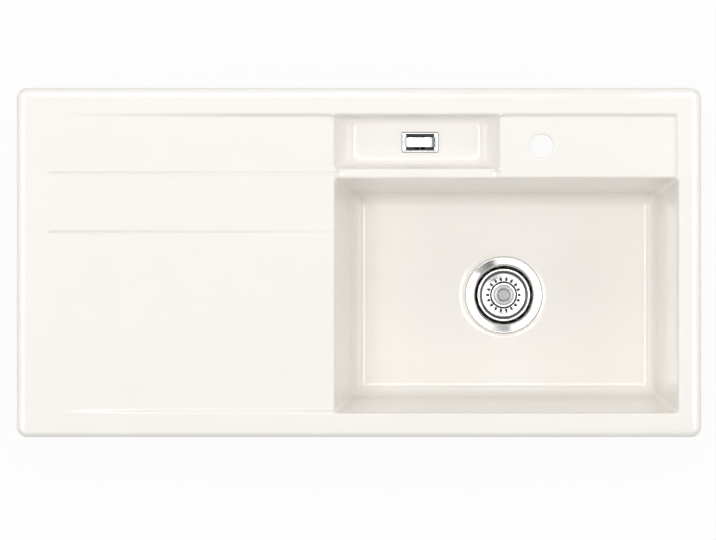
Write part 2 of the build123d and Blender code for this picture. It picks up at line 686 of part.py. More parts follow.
# Overflow frame: lip, collar through the ceramic, ledges for the cover and a bridge along it for the screw
opening_length = OVERFLOW_LENGTH - 2 * OVERFLOW_END_BAR
opening_width = OVERFLOW_WIDTH - 2 * OVERFLOW_SIDE_BAR
lip_top = recess_floor + OVERFLOW_LIP
ledge_z = lip_top - LEDGE_DROP
bridge_top = recess_floor - BRIDGE_DROP
screw_r = OVERFLOW_SCREW_D / 2
screw_head_r = OVERFLOW_SCREW_HEAD_D / 2
screw_head = screw_head_r - screw_r
over_axis = Axis((over_x, over_y, 0), (0, 0, 1))
over_section = Plane(origin=(over_x, over_y, 0), x_dir=(1, 0, 0), z_dir=(0, -1, 0))
with BuildPart() as overflow_frame:
    with BuildSketch(Plane.XY.offset(recess_floor)):
        with Locations((over_x, over_y)):
            RectangleRounded(OVERFLOW_LENGTH, OVERFLOW_WIDTH, OVERFLOW_CORNER_R)
    extrude(amount=OVERFLOW_LIP)
    fillet(overflow_frame.faces().sort_by(Axis.Z)[-1].edges(), OVERFLOW_EDGE_R)
    with BuildSketch(Plane.XY.offset(recess_floor)):
        with Locations((over_x, over_y)):
            Rectangle(opening_length + 2 * COLLAR_WALL, opening_width + 2 * COLLAR_WALL)
    extrude(amount=-COLLAR_DEPTH)
    with BuildSketch(Plane.XY.offset(lip_top)):
        with Locations((over_x, over_y)):
            Rectangle(opening_length - 2 * LEDGE, opening_width)
    extrude(amount=-OVERFLOW_LIP - COLLAR_DEPTH, mode=Mode.SUBTRACT)
    with BuildSketch(Plane.XY.offset(ledge_z)):
        with Locations((over_x, over_y)):
            Rectangle(opening_length, opening_width)
    extrude(amount=LEDGE_DROP, mode=Mode.SUBTRACT)
    fillet(overflow_frame.faces().sort_by(Axis.Z)[-1].inner_wires().edges(), OVERFLOW_INNER_R)
    with BuildSketch(Plane.XY.offset(bridge_top)):
        with Locations((over_x, over_y)):
            Rectangle(opening_length - 2 * LEDGE + COLLAR_WALL, BRIDGE_WIDTH)
    extrude(amount=-BRIDGE_THICKNESS)
    with BuildSketch(over_section):
        Polygon(
            (0, bridge_top),
            (screw_head_r + THREAD_FIT, bridge_top),
            (screw_r + THREAD_FIT, bridge_top - screw_head),
            (screw_r + THREAD_FIT, bridge_top - BRIDGE_THICKNESS),
            (0, bridge_top - BRIDGE_THICKNESS),
            align=None,
        )
    revolve(axis=over_axis, mode=Mode.SUBTRACT)
overflow_frame.part.label = "overflow_frame"
export_step(overflow_frame.part, "parts/overflow_frame.step")

# Arched cover that drops onto the ledges, with two legs that straddle the bridge
cover_half = opening_length / 2 - SLIDE_FIT
cover_under = ledge_z + SEAT_FIT
leg_y = BRIDGE_WIDTH / 2 + SLIDE_FIT + LEG_THICKNESS / 2
leg_bottom = bridge_top - BRIDGE_THICKNESS
with BuildPart() as overflow_cover:
    with BuildSketch(over_section):
        with BuildLine():
            ThreePointArc(
                (-cover_half, cover_under),
                (0, cover_under + COVER_RISE),
                (cover_half, cover_under),
            )
            Line((cover_half, cover_under), (cover_half, cover_under + COVER_SHEET))
            ThreePointArc(
                (cover_half, cover_under + COVER_SHEET),
                (0, cover_under + COVER_RISE + COVER_SHEET),
                (-cover_half, cover_under + COVER_SHEET),
            )
            Line((-cover_half, cover_under + COVER_SHEET), (-cover_half, cover_under))
        make_face()
    extrude(amount=COVER_WIDTH / 2, both=True)
    fillet(overflow_cover.edges().filter_by(GeomType.CIRCLE).sort_by(Axis.Z)[-2:], COVER_EDGE_R)
    with BuildSketch(Plane.XY.offset(leg_bottom)):
        with Locations((over_x, over_y)):
            with GridLocations(1, 2 * leg_y, 1, 2):
                Rectangle(LEG_WIDTH, LEG_THICKNESS)
    extrude(amount=cover_under + COVER_RISE - leg_bottom)
overflow_cover.part.label = "overflow_cover"
export_step(overflow_cover.part, "parts/overflow_cover.step")

# Countersunk screw through the bridge into the housing's boss
screw_end = bridge_top - OVERFLOW_SCREW_LENGTH
with BuildPart() as overflow_screw:
    with BuildSketch(over_section):
        Polygon(
            (0, bridge_top),
            (screw_head_r, bridge_top),
            (screw_r, bridge_top - screw_head),
            (screw_r, screw_end),
            (0, screw_end),
            align=None,
        )
    revolve(axis=over_axis)
    with BuildSketch(Plane.XY.offset(bridge_top)):
        with Locations((over_x, over_y)):
            Rectangle(OVERFLOW_SCREW_HEAD_D, OVERFLOW_SCREW_D / 4)
    extrude(amount=-screw_head / 2, mode=Mode.SUBTRACT)
overflow_screw.part.label = "overflow_screw"
export_step(overflow_screw.part, "parts/overflow_screw.step")

# Rubber ring between the recess's underside and the housing
flange_length = overflow_hole_length + 2 * HOUSING_FLANGE_EXTRA
flange_width = overflow_hole_width + 2 * HOUSING_FLANGE_EXTRA
with BuildPart() as overflow_gasket:
    with BuildSketch(Plane.XY.offset(recess_under)):
        with Locations((over_x, over_y)):
            RectangleRounded(flange_length, flange_width, HOUSING_FLANGE_EXTRA)
            Rectangle(overflow_hole_length, overflow_hole_width, mode=Mode.SUBTRACT)
    extrude(amount=-GASKET_THICKNESS)
overflow_gasket.part.label = "overflow_gasket"
export_step(overflow_gasket.part, "parts/overflow_gasket.step")

# Plastic housing: flange, box, screw boss on a web across it, and a socket underneath
housing_top = recess_under - GASKET_THICKNESS
housing_bottom = housing_top - HOUSING_DEPTH
box_length = overflow_hole_length + HOUSING_FLANGE_EXTRA
box_width = overflow_hole_width + HOUSING_FLANGE_EXTRA
socket_end = housing_bottom - SOCKET_LENGTH
housing_boss_end = housing_bottom + pipe_bore
with BuildPart() as overflow_housing:
    with BuildSketch(Plane.XY.offset(housing_top)):
        with Locations((over_x, over_y)):
            RectangleRounded(flange_length, flange_width, HOUSING_FLANGE_EXTRA)
    extrude(amount=-HOUSING_FLANGE)
    with BuildSketch(Plane.XY.offset(housing_top)):
        with Locations((over_x, over_y)):
            RectangleRounded(box_length, box_width, HOUSING_WALL * 2)
    extrude(amount=-HOUSING_DEPTH)
    with BuildSketch(Plane.XY.offset(housing_top)):
        with Locations((over_x, over_y)):
            RectangleRounded(box_length - 2 * HOUSING_WALL, box_width - 2 * HOUSING_WALL, HOUSING_WALL)
    extrude(amount=HOUSING_WALL - HOUSING_DEPTH, mode=Mode.SUBTRACT)
    with BuildSketch(Plane.XY.offset(housing_boss_end)):
        with Locations((over_x, over_y)):
            Circle(HOUSING_BOSS_D / 2)
            Rectangle(HOUSING_WALL, box_width - HOUSING_WALL)
    extrude(amount=(housing_top - housing_boss_end) / 2)
    with BuildSketch(Plane.XY.offset(housing_bottom)):
        with Locations((over_x, over_y)):
            Circle(SOCKET_D / 2)
    extrude(amount=-SOCKET_LENGTH)
    with BuildSketch(Plane.XY.offset(socket_end)):
        with Locations((over_x, over_y)):
            Circle(pipe_bore)
    extrude(amount=SOCKET_LENGTH + HOUSING_WALL, mode=Mode.SUBTRACT)
    with BuildSketch(Plane.XY.offset(socket_end)):
        with Locations((over_x, over_y)):
            Circle(socket_r)
    extrude(amount=SOCKET_GRIP, mode=Mode.SUBTRACT)
    with BuildSketch(Plane.XY.offset(housing_boss_end)):
        with Locations((over_x, over_y)):
            Circle(screw_r + THREAD_FIT)
    extrude(amount=HOUSING_DEPTH, mode=Mode.SUBTRACT)
overflow_housing.part.label = "overflow_housing"
export_step(overflow_housing.part, "parts/overflow_housing.step")

# Route of the pipe: straight down from the housing, one moulded bend, level to the waste body
socket_face = inlet_root + inlet_dir * inlet_length
pipe_start = Vector(over_x, over_y, socket_end + SOCKET_GRIP - SEAT_FIT)
pipe_corner = Vector(over_x, over_y, inlet_z)
pipe_finish = socket_face - inlet_dir * (SOCKET_GRIP - SEAT_FIT)
with BuildLine() as pipe_route:
    FilletPolyline(pipe_start, pipe_corner, pipe_finish, radius=PIPE_BEND_R)
pipe_line = pipe_route.wire()
with BuildPart() as overflow_pipe:
    with BuildSketch(Plane(origin=pipe_start, z_dir=(0, 0, -1))):
        Circle(pipe_r)
        Circle(pipe_bore, mode=Mode.SUBTRACT)
    sweep(path=pipe_line)
overflow_pipe.part.label = "overflow_pipe"
export_step(overflow_pipe.part, "parts/overflow_pipe.step")
pipe_section = pi * (pipe_r ** 2 - pipe_bore ** 2)
print("pipe volume", round(overflow_pipe.part.volume))
print("section times length", round(pipe_section * pipe_line.length))

# A union nut on each socket, with grip lugs, and a rubber ring between the nut's face and the socket
upper_joint = Plane(origin=(over_x, over_y, socket_end), z_dir=(0, 0, -1))
lower_joint = Plane(origin=socket_face, x_dir=(0, 0, 1), z_dir=inlet_dir)
nut_r = NUT_D / 2
for nut_name, joint_plane in (("pipe_nut_upper", upper_joint), ("pipe_nut_lower", lower_joint)):
    with BuildPart() as pipe_nut:
        with BuildSketch(joint_plane.offset(-NUT_COVER)):
            Circle(nut_r)
            with PolarLocations(nut_r, NUT_LUG_COUNT):
                Rectangle(NUT_LUG, 2 * NUT_LUG)
        extrude(amount=NUT_COVER + SEAL_LENGTH + NUT_FACE)
        with BuildSketch(joint_plane.offset(-NUT_COVER)):
            Circle(SOCKET_D / 2 + THREAD_FIT)
        extrude(amount=NUT_COVER + SEAL_LENGTH, mode=Mode.SUBTRACT)
        with BuildSketch(joint_plane):
            Circle(socket_r)
        extrude(amount=SEAL_LENGTH + NUT_FACE, mode=Mode.SUBTRACT)
    pipe_nut.part.label = nut_name
    export_step(pipe_nut.part, f"parts/{nut_name}.step")

with BuildPart() as pipe_seals:
    for joint_plane in (upper_joint, lower_joint):
        with BuildSketch(joint_plane):
            Circle(SOCKET_D / 2)
            Circle(pipe_r + SEAT_FIT, mode=Mode.SUBTRACT)
        extrude(amount=SEAL_LENGTH)
pipe_seals.part.label = "pipe_seals"
export_step(pipe_seals.part, "parts/pipe_seals.step")
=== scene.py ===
import bmesh
import bpy
import math
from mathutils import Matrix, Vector
from mathutils.kdtree import KDTree


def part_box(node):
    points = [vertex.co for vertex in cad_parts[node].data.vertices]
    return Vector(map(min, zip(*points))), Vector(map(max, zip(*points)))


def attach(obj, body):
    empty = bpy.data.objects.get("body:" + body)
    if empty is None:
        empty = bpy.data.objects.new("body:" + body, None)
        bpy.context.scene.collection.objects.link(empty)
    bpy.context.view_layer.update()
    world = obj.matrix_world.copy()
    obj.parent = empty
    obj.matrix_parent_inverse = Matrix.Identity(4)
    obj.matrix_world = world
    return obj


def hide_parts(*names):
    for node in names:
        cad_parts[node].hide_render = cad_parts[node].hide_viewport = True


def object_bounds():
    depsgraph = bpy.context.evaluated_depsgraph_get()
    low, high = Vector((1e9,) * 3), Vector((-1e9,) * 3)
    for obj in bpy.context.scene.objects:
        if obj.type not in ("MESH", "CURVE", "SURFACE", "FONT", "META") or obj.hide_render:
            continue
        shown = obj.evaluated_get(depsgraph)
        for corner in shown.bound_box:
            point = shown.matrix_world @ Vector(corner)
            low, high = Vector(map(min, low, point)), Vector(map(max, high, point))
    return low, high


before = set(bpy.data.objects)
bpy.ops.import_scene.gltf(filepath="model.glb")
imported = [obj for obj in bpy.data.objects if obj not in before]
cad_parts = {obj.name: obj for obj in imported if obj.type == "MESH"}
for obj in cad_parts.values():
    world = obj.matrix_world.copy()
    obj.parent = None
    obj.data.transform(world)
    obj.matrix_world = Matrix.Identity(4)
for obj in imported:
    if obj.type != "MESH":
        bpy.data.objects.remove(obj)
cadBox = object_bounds()
mm = 0.001
tiny = 1e-6  # slack for comparing places, in mm
drainAxis = (215.0, -48.0)  # the waste's axis, in mm; its steel is turned round this
print("frame loaded:", len(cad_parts), "nodes")


def deselectAll():
    if bpy.context.object and bpy.context.object.mode != "OBJECT":
        bpy.ops.object.mode_set(mode="OBJECT")
    bpy.ops.object.select_all(action="DESELECT")


def pick(*pieces):
    deselectAll()
    for piece in pieces:
        piece.select_set(True)
    bpy.context.view_layer.objects.active = pieces[0]


def clamp(value, low=0.0, high=1.0):
    return max(low, min(high, value))


def ease(value):
    t = clamp(value)
    return t * t * (3 - 2 * t)


def mix(a, b, t):
    return a + (b - a) * t


def finishPiece(piece, body, nodes, angle):
    # place goes into the mesh, shading is smoothed, and the piece stands for its nodes
    pick(piece)
    bpy.ops.object.transform_apply(location=True, rotation=True, scale=True)
    bpy.ops.object.shade_smooth_by_angle(angle=math.radians(angle))
    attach(piece, body)
    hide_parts(*nodes)
    print(piece.name, "has", len(piece.data.polygons), "faces")


# Camera straight above, as the photograph is taken; the frame is 716 by 540 pixels, and lengths are in millimetres
shot = {"mmPerPixel": 1.46, "frameWidth": 716, "aim": (-1.46, -10.9), "height": 12000.0, "sensor": 36.0,
        "farLimit": 100000.0}


def placeCamera():
    data = bpy.data.cameras.new("plan_camera")
    camera = bpy.data.objects.new("plan_camera", data)
    bpy.context.scene.collection.objects.link(camera)
    data.sensor_width = shot["sensor"]
    data.lens = shot["sensor"] * (shot["height"] - cadBox[1].z / mm) / (shot["mmPerPixel"] * shot["frameWidth"])
    data.clip_end = shot["farLimit"] * mm
    camera.location = Vector((*shot["aim"], shot["height"])) * mm
    bpy.context.scene.camera = camera


placeCamera()
print("camera placed")


def linearColour(hexText):
    channels = [int(hexText[i:i + 2], 16) / 255 for i in (1, 3, 5)]
    return [c / 12.92 if c <= 0.04045 else ((c + 0.055) / 1.055) ** 2.4 for c in channels] + [1.0]


def addNode(tree, kind, settings, sockets):
    # kind may be a node that is there already; a socket takes a value, or another node's output
    node = tree.nodes.new(kind) if isinstance(kind, str) else kind
    for name, value in settings.items():
        setattr(node, name, value)
    for name, value in sockets.items():
        if isinstance(value, bpy.types.NodeSocket):
            tree.links.new(value, node.inputs[name])
        else:
            node.inputs[name].default_value = value
    return node


def startMaterial(name):
    material = bpy.data.materials.new(name)
    material.use_nodes = True
    tree = material.node_tree
    place = addNode(tree, "ShaderNodeTexCoord", {}, {}).outputs["Object"]
    return material, tree, tree.nodes["Principled BSDF"], place


# Glazed fireclay: warm white glaze fired over clay; glossy, with a slow ripple and a faint drift of tone
glazedFireclay = {"thin": "#F1EDE7", "thick": "#F4F1EC", "toneMm": 70, "rippleMm": 28, "rippleDepthMm": 0.02,
                  "roughness": 0.11, "ior": 1.52}


def makeGlazedFireclay(look):
    material, tree, shader, place = startMaterial("glazed_fireclay")
    tone = addNode(tree, "ShaderNodeTexNoise", {}, {"Vector": place, "Scale": 1 / (look["toneMm"] * mm), "Detail": 2.0})
    colour = addNode(tree, "ShaderNodeMix", {"data_type": "RGBA"},
                     {0: tone.outputs["Fac"], 6: linearColour(look["thin"]), 7: linearColour(look["thick"])})
    ripple = addNode(tree, "ShaderNodeTexNoise", {},
                     {"Vector": place, "Scale": 1 / (look["rippleMm"] * mm), "Detail": 1.0})
    bump = addNode(tree, "ShaderNodeBump", {},
                   {"Strength": 1.0, "Distance": look["rippleDepthMm"] * mm, "Height": ripple.outputs["Fac"]})
    addNode(tree, shader, {}, {"Base Color": colour.outputs[2], "Roughness": look["roughness"], "IOR": look["ior"],
                               "Normal": bump.outputs["Normal"]})
    return material


# Bare fireclay under the sink: unglazed, sandy and matt, with fine grit
bareFireclay = {"dark": "#D3C8B4", "light": "#E2D9C8", "gritMm": 1.8, "gritDepthMm": 0.12, "roughness": 0.85,
                "ior": 1.5}


def makeBareFireclay(look):
    material, tree, shader, place = startMaterial("bare_fireclay")
    grit = addNode(tree, "ShaderNodeTexNoise", {},
                   {"Vector": place, "Scale": 1 / (look["gritMm"] * mm), "Detail": 4.0, "Roughness": 0.6})
    colour = addNode(tree, "ShaderNodeMix", {"data_type": "RGBA"},
                     {0: grit.outputs["Fac"], 6: linearColour(look["dark"]), 7: linearColour(look["light"])})
    bump = addNode(tree, "ShaderNodeBump", {},
                   {"Strength": 1.0, "Distance": look["gritDepthMm"] * mm, "Height": grit.outputs["Fac"]})
    addNode(tree, shader, {}, {"Base Color": colour.outputs[2], "Roughness": look["roughness"], "IOR": look["ior"],
                               "Normal": bump.outputs["Normal"]})
    return material


# Polished stainless steel, turned: fine rings round the drain's axis, and patches dulled by water; the real turning
# marks are about 0.1 mm apart, and are drawn coarser so that they show
polishedStainless = {"steel": "#E2E2E1", "ringMm": 0.9, "ringDepthMm": 0.004, "ringWander": 0.6, "patchMm": 9,
                     "patchRange": (0.3, 0.75), "smooth": 0.1, "dull": 0.15, "steepRise": 0.95, "levelRise": 0.99}
# a steel with a painted level tone changes to it where a face comes level; both tones are painted light: the pressed
# basket gets painted shade on its steep faces, and the satin knob a painted dark reflection on top and a painted
# highlight on its slopes
pressedBasket = dict(polishedStainless, steel="#929496", level="#E2E2E1", smooth=0.16, dull=0.24)
satinKnob = dict(polishedStainless, steel="#F4F4F3", level="#8F9193", smooth=0.42, dull=0.5)


def makePolishedStainless(look, name):
    material, tree, shader, place = startMaterial(name)
    centred = addNode(tree, "ShaderNodeMapping", {},
                      {"Vector": place, "Location": (-drainAxis[0] * mm, -drainAxis[1] * mm, 0)})
    rings = addNode(tree, "ShaderNodeTexWave", {"wave_type": "RINGS", "rings_direction": "Z"},
                    {"Vector": centred.outputs["Vector"], "Scale": math.pi / (10 * look["ringMm"] * mm),
                     "Distortion": look["ringWander"], "Detail": 2.0, "Detail Scale": 2.0})
    patches = addNode(tree, "ShaderNodeTexNoise", {},
                      {"Vector": place, "Scale": 1 / (look["patchMm"] * mm), "Detail": 5.0})
    dulled = addNode(tree, "ShaderNodeMapRange", {},
                     {"Value": patches.outputs["Fac"], "From Min": look["patchRange"][0],
                      "From Max": look["patchRange"][1], "To Min": look["smooth"], "To Max": look["dull"]})
    bump = addNode(tree, "ShaderNodeBump", {},
                   {"Strength": 1.0, "Distance": look["ringDepthMm"] * mm, "Height": rings.outputs["Fac"]})
    colour = linearColour(look["steel"])
    # painted light: where a face comes level, the colour passes from the steep tone to the level one as painted shade
    # and painted reflection
    if "level" in look:
        facing = addNode(tree, "ShaderNodeNewGeometry", {}, {}).outputs["Normal"]
        rise = addNode(tree, "ShaderNodeSeparateXYZ", {}, {"Vector": facing}).outputs["Z"]
        paintedLightMask = addNode(tree, "ShaderNodeMapRange", {},
                       {"Value": rise, "From Min": look["steepRise"], "From Max": look["levelRise"]}).outputs["Result"]
        colour = addNode(tree, "ShaderNodeMix", {"data_type": "RGBA"},
                         {0: paintedLightMask, 6: colour, 7: linearColour(look["level"])}).outputs[2]
    addNode(tree, shader, {}, {"Base Color": colour, "Metallic": 1.0, "Roughness": dulled.outputs["Result"],
                               "Normal": bump.outputs["Normal"]})
    return material


# Chrome plate on brass: bright and cool, with a light limescale haze, and a painted dark reflection where it turns down
chromePlate = {"chrome": "#E3E4E6", "edge": "#6C7074", "darkReflectionRise": 0.985, "flatRise": 0.996, "hazeMm": 6,
               "hazeRange": (0.4, 0.8), "smooth": 0.14, "hazy": 0.24}


def makeChromePlate(look):
    material, tree, shader, place = startMaterial("chrome_plate")
    haze = addNode(tree, "ShaderNodeTexNoise", {}, {"Vector": place, "Scale": 1 / (look["hazeMm"] * mm), "Detail": 4.0})
    dulled = addNode(tree, "ShaderNodeMapRange", {},
                     {"Value": haze.outputs["Fac"], "From Min": look["hazeRange"][0],
                      "From Max": look["hazeRange"][1], "To Min": look["smooth"], "To Max": look["hazy"]})
    # painted dark reflection: faces that turn down from level take the darker edge tone
    facing = addNode(tree, "ShaderNodeNewGeometry", {}, {}).outputs["Normal"]
    rise = addNode(tree, "ShaderNodeSeparateXYZ", {}, {"Vector": facing}).outputs["Z"]
    paintedLightMask = addNode(tree, "ShaderNodeMapRange", {},
                   {"Value": rise, "From Min": look["darkReflectionRise"], "From Max": look["flatRise"]}).outputs["Result"]
    colour = addNode(tree, "ShaderNodeMix", {"data_type": "RGBA"},
                     {0: paintedLightMask, 6: linearColour(look["edge"]), 7: linearColour(look["chrome"])})
    addNode(tree, shader, {}, {"Base Color": colour.outputs[2], "Metallic": 1.0, "Roughness": dulled.outputs["Result"]})
    return material


# Machined brass: warm yellow metal with cutter marks across it, drawn coarser than real ones so that they show
machinedBrass = {"bright": "#D2AE68", "tarnished": "#B58E4B", "markMm": 0.8, "markDepthMm": 0.01, "markWander": 1.5,
                 "roughness": 0.3}


def makeMachinedBrass(look):
    material, tree, shader, place = startMaterial("machined_brass")
    marks = addNode(tree, "ShaderNodeTexWave", {"wave_type": "BANDS", "bands_direction": "Z"},
                    {"Vector": place, "Scale": math.pi / (10 * look["markMm"] * mm),
                     "Distortion": look["markWander"], "Detail": 2.0})
    colour = addNode(tree, "ShaderNodeMix", {"data_type": "RGBA"},
                     {0: marks.outputs["Fac"], 6: linearColour(look["bright"]), 7: linearColour(look["tarnished"])})
    bump = addNode(tree, "ShaderNodeBump", {},
                   {"Strength": 1.0, "Distance": look["markDepthMm"] * mm, "Height": marks.outputs["Fac"]})
    addNode(tree, shader, {}, {"Base Color": colour.outputs[2], "Metallic": 1.0, "Roughness": look["roughness"],
                               "Normal": bump.outputs["Normal"]})
    return material


# Moulded EPDM rubber: near black and matt, with a powdery bloom; its grain is drawn coarser so that it shows
mouldedRubber = {"deep": "#191A1B", "bloom": "#2B2C2D", "bloomMm": 4, "grainMm": 0.6, "grainDepthMm": 0.03,
                 "roughness": 0.7, "ior": 1.52}


def makeMouldedRubber(look):
    material, tree, shader, place = startMaterial("moulded_rubber")
    bloom = addNode(tree, "ShaderNodeTexNoise", {},
                    {"Vector": place, "Scale": 1 / (look["bloomMm"] * mm), "Detail": 3.0})
    colour = addNode(tree, "ShaderNodeMix", {"data_type": "RGBA"},
                     {0: bloom.outputs["Fac"], 6: linearColour(look["deep"]), 7: linearColour(look["bloom"])})
    grain = addNode(tree, "ShaderNodeTexNoise", {},
                    {"Vector": place, "Scale": 1 / (look["grainMm"] * mm), "Detail": 1.0})
    bump = addNode(tree, "ShaderNodeBump", {},
                   {"Strength": 1.0, "Distance": look["grainDepthMm"] * mm, "Height": grain.outputs["Fac"]})
    addNode(tree, shader, {}, {"Base Color": colour.outputs[2], "Roughness": look["roughness"], "IOR": look["ior"],
                               "Normal": bump.outputs["Normal"]})
    return material


# Moulded polypropylene: waxy white plastic with slow flow marks and a spark-eroded grain, drawn coarser so that it
# shows; the pipe nuts are grey, and the carrier of the basket's seal charcoal
mouldedPolypropylene = {"light": "#E9E8E4", "dark": "#DDDCD7", "flowMm": 22, "grainMm": 0.8, "grainDepthMm": 0.03,
                        "roughness": 0.42, "ior": 1.49}
greyNuts = dict(mouldedPolypropylene, light="#A9ABAC", dark="#9C9EA0")
charcoalCarrier = dict(mouldedPolypropylene, light="#3B3C3D", dark="#313233")


def makeMouldedPolypropylene(look, name):
    material, tree, shader, place = startMaterial(name)
    flow = addNode(tree, "ShaderNodeTexNoise", {}, {"Vector": place, "Scale": 1 / (look["flowMm"] * mm), "Detail": 2.0})
    colour = addNode(tree, "ShaderNodeMix", {"data_type": "RGBA"},
                     {0: flow.outputs["Fac"], 6: linearColour(look["dark"]), 7: linearColour(look["light"])})
    grain = addNode(tree, "ShaderNodeTexNoise", {},
                    {"Vector": place, "Scale": 1 / (look["grainMm"] * mm), "Detail": 2.0})
    bump = addNode(tree, "ShaderNodeBump", {},
                   {"Strength": 1.0, "Distance": look["grainDepthMm"] * mm, "Height": grain.outputs["Fac"]})
    addNode(tree, shader, {}, {"Base Color": colour.outputs[2], "Roughness": look["roughness"], "IOR": look["ior"],
                               "Normal": bump.outputs["Normal"]})
    return material


glaze = makeGlazedFireclay(glazedFireclay)
bareClay = makeBareFireclay(bareFireclay)
stainless = makePolishedStainless(polishedStainless, "polished_stainless")
satinStainless = makePolishedStainless(satinKnob, "satin_stainless")
pressedStainless = makePolishedStainless(pressedBasket, "pressed_stainless")
chrome = makeChromePlate(chromePlate)
brass = makeMachinedBrass(machinedBrass)
rubber = makeMouldedRubber(mouldedRubber)
whitePlastic = makeMouldedPolypropylene(mouldedPolypropylene, "moulded_polypropylene_white")
greyPlastic = makeMouldedPolypropylene(greyNuts, "moulded_polypropylene_grey")
charcoalPlastic = makeMouldedPolypropylene(charcoalCarrier, "moulded_polypropylene_charcoal")
nodeFinishes = {
    "sink_body": glaze, "waste_flange": stainless, "flange_gasket": rubber, "waste_gasket": rubber,
    "waste_body": whitePlastic, "clamp_insert": brass, "clamp_screw": stainless, "strainer_basket": pressedStainless,
    "basket_knob": satinStainless, "seal_carrier": charcoalPlastic, "basket_seal": rubber, "basket_stem": stainless,
    "stem_clip": stainless, "stem_o_ring": rubber, "overflow_frame": chrome, "overflow_cover": chrome,
    "overflow_screw": stainless, "overflow_gasket": rubber, "overflow_housing": whitePlastic,
    "overflow_pipe": whitePlastic, "pipe_nut_upper": greyPlastic, "pipe_nut_lower": greyPlastic, "pipe_seals": rubber,
}
for node, finish in nodeFinishes.items():
    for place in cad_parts[node].material_slots:
        place.material = finish
print("finishes on", len(nodeFinishes), "nodes")

# Ceramic body, in millimetres: one fired piece; its top is a gently shaped sheet with two moulded basins
bodyLow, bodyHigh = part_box("sink_body")
sink = {
    # outline, rolled rim and its foot
    "left": bodyLow.x / mm, "right": bodyHigh.x / mm, "front": bodyLow.y / mm, "back": bodyHigh.y / mm,
    "rim": bodyHigh.z / mm, "cornerR": 15.0, "edgeR": 8.0, "footR": 1.2, "edgeSteps": 8, "smoothAngle": 50,
    # sunk area inside the rim, its slopes, and how far drainer, back strip, deck and weir lie below the rim
    "wellLeft": -457.0, "wellRight": 466.5, "wellFront": -220.0, "wellBack": 216.0, "rampBack": 218.5,
    "rampWidth": 6.0, "drainerDrop": 4.5, "stripDrop": 6.0, "deckDrop": 4.5, "weirDrop": 10.0, "weirRamp": 15.0,
    # drainer's grooves, the back one first; they fade to the end depths at the bowl
    "grooveFronts": (126.0, 39.5), "grooveDepth": 3.2, "grooveEndDepths": (1.0, 0.6), "grooveWidth": 8.0,
    "grooveFlank": 2.6, "grooveStart": -456.0, "grooveRound": 12.0,
    # main bowl: drafts in degrees, floorR for the ends and the sides
    "bowlLeft": -36.5, "bowlBack": 124.0, "bowlDepth": 195.0, "endDraft": 8.2, "sideDraft": 6.6, "floorFall": 4.0,
    "wallR": 8.0, "floorR": (21.0, 21.0), "floorCornerR": 2.5, "floorSteps": 14,
    # scrap recess: how far its walls lean in over its depth, floor radii for the ends and the sides
    "recessLeft": -40.3, "recessRight": 208.5, "recessFront": 136.5, "recessDepth": 40.0, "recessEndSlope": 22.0,
    "recessSideSlope": 3.0, "recessFloorR": (26.0, 13.0), "recessWallR": 13.0, "recessCornerR": 13.0,
    "recessFloorSteps": 6,
    # lips and corners of both basins, and the rings in each of their forms
    "lipR": 3.5, "lipZone": 3.25, "mouthR": 7.0, "cornerZone": 12.0, "lipSteps": 6, "wallSteps": 8, "filletSteps": 8,
    # holes for waste, overflow and tap; an edge has its radius, and how far its middle lies from the corner
    "drain": drainAxis, "seatR": 57.1, "drainHoleR": 45.0, "seatDrop": 5.0, "seatEdge": (1.0, 0.3),
    "overflow": (89.5, 176.25), "overflowHole": (49.3, 27.8), "overflowHoleR": 1.6,
    "tap": (266.5, 170.0), "tapR": 17.5, "tapLip": 1.5, "tapLipSteps": 5, "tapFlat": 2.0, "tapZone": 24.0,
    # underside: worktop seat, skirt, panel, ribs and the shells of both basins
    "seatWidth": 14.0, "skirtDepth": 30.0, "skirtStep": 0.8, "skirtRoot": (1.5, 0.4), "skirtEdge": (2.0, 0.6),
    "wall": 12.0, "panelUnder": 6.0, "floorThickness": 14.0, "ribs": (-332.2, -190.3), "underFillet": 10.0,
    "shellR": 33.0, "shellFillet": 22.0, "recessShellFillet": 6.0,
    # squares left open round the holes below, the glaze's end inside each hole, and slack for finding open borders
    "drainBorder": 5.0, "tapBorder": 4.0, "holeSteps": 3, "glazeEnd": 1.0, "borderSlack": 0.5,
}
sink["endFall"], sink["sideFall"] = (math.tan(math.radians(sink[k])) for k in ("endDraft", "sideDraft"))
sink["floor"] = sink["rim"] - sink["bowlDepth"]
sink["drainZ"] = sink["floor"] - sink["floorFall"]
sink["under"] = sink["drainZ"] - sink["floorThickness"]
sink["recessFloor"] = sink["rim"] - sink["recessDepth"]
sink["recessUnder"] = sink["recessFloor"] - sink["wall"]


